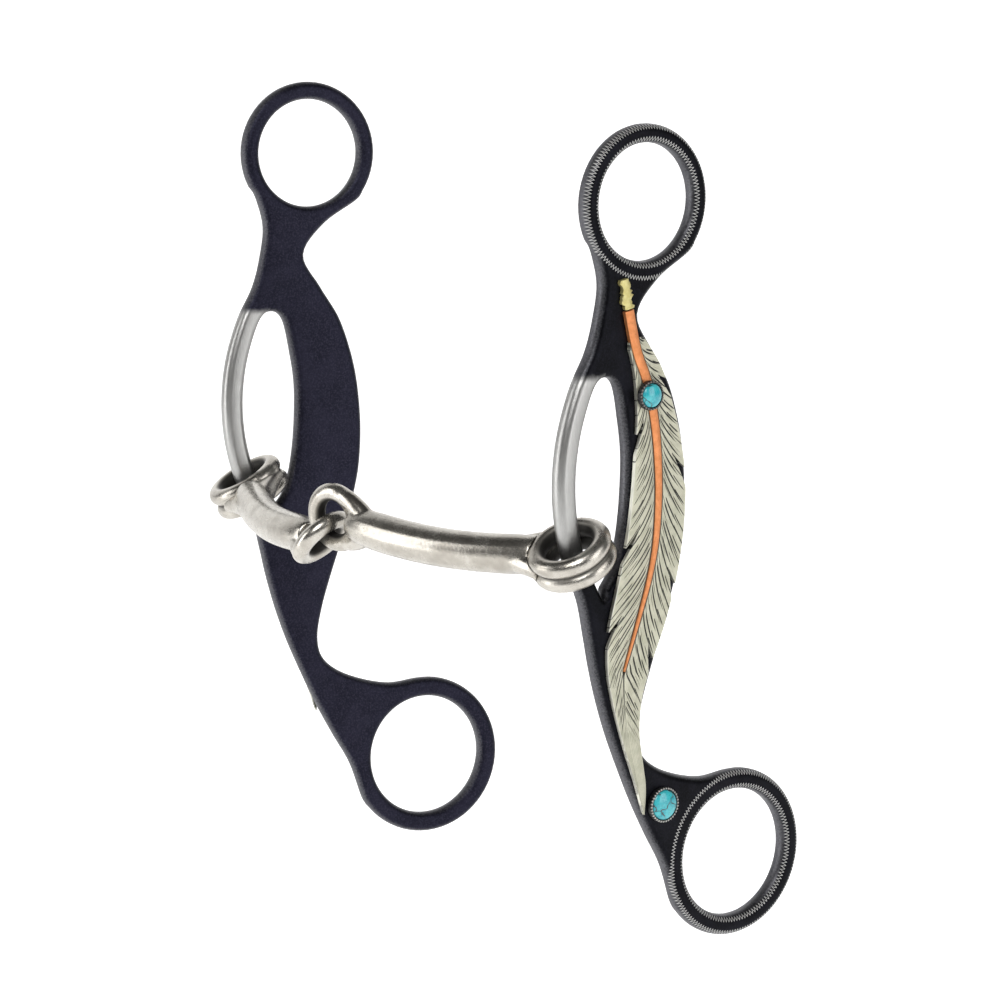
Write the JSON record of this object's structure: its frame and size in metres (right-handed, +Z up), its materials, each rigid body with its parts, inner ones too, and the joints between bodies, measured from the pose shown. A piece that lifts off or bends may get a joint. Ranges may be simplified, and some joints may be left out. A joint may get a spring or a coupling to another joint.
{
  "type": "loose-cheek western snaffle bit",
  "caption": "Western loose-cheek bit: two slotted dark steel shanks with rings and feather overlays, and a two-piece jointed mouthpiece sliding on round bars.",
  "frame": {"origin": "centre of the near shank's headstall ring, in the middle of its plate", "axes": "+Z up along the shanks towards the headstall rings, +Y back towards the rein rings, +X out of the near shank's decorated face; the far shank stands on the -X side"},
  "size_m": [0.1448, 0.0877, 0.1787],
  "materials": {
    "blued_steel": "dark blue-black patina, satin, mottled; slide bars polished bare",
    "polished_steel": "warm polish",
    "nickel_silver": "engraved, satin, slightly yellow",
    "copper": "satin copper",
    "brass": "satin",
    "bezel_silver": "darkened silver",
    "turquoise": "polished stone with dark veins"
  },
  "bodies": {
    "near_cheek": {"near_shank": "blued_steel", "near_feather": "nickel_silver", "near_quill": "copper", "near_quill_tip": "brass", "near_upper_bezel": "bezel_silver", "near_upper_stone": "turquoise", "near_lower_bezel": "bezel_silver", "near_lower_stone": "turquoise"},
    "near_loop": {"near_bar_loop": "polished_steel"},
    "near_half": {"near_cannon": "polished_steel"},
    "far_half": {"far_cannon": "polished_steel"},
    "far_loop": {"far_bar_loop": "polished_steel"},
    "far_cheek": {"far_shank": "blued_steel", "far_feather": "nickel_silver", "far_quill": "copper", "far_quill_tip": "brass", "far_upper_bezel": "bezel_silver", "far_upper_stone": "turquoise", "far_lower_bezel": "bezel_silver", "far_lower_stone": "turquoise"}
  },
  "joints": [
    {"name": "near_slide", "type": "hinge", "parent": "near_cheek", "child": "near_loop", "pos_m": [0, 0.02708, -0.05855], "axis": [-1, 0, 0], "range_deg": [0, 28]},
    {"name": "near_swivel", "type": "hinge", "parent": "near_loop", "child": "near_half", "pos_m": [0, -0.01845, -0.07305], "axis": [0.113, -0.4875, 0.8658], "range_deg": [-30, 30]},
    {"name": "centre_fold", "type": "hinge", "parent": "near_half", "child": "far_half", "pos_m": [-0.06511, -0.03611, -0.07616], "axis": [-0.6841, -0.2337, 0.6909], "range_deg": [-35, 35]},
    {"name": "far_swivel", "type": "hinge", "parent": "far_half", "child": "far_loop", "pos_m": [-0.12614, -0.01501, -0.07675], "axis": [-0.1854, -0.4652, 0.8656], "range_deg": [-30, 30]},
    {"name": "far_slide", "type": "hinge", "parent": "far_loop", "child": "far_cheek", "pos_m": [-0.11812, 0.02848, -0.05868], "axis": [0.9772, -0.2042, 0.0576], "range_deg": [0, 28]}
  ],
  "couplings": [
    {"joint": "far_slide", "follows": "near_slide", "ratio": 1}
  ]
}
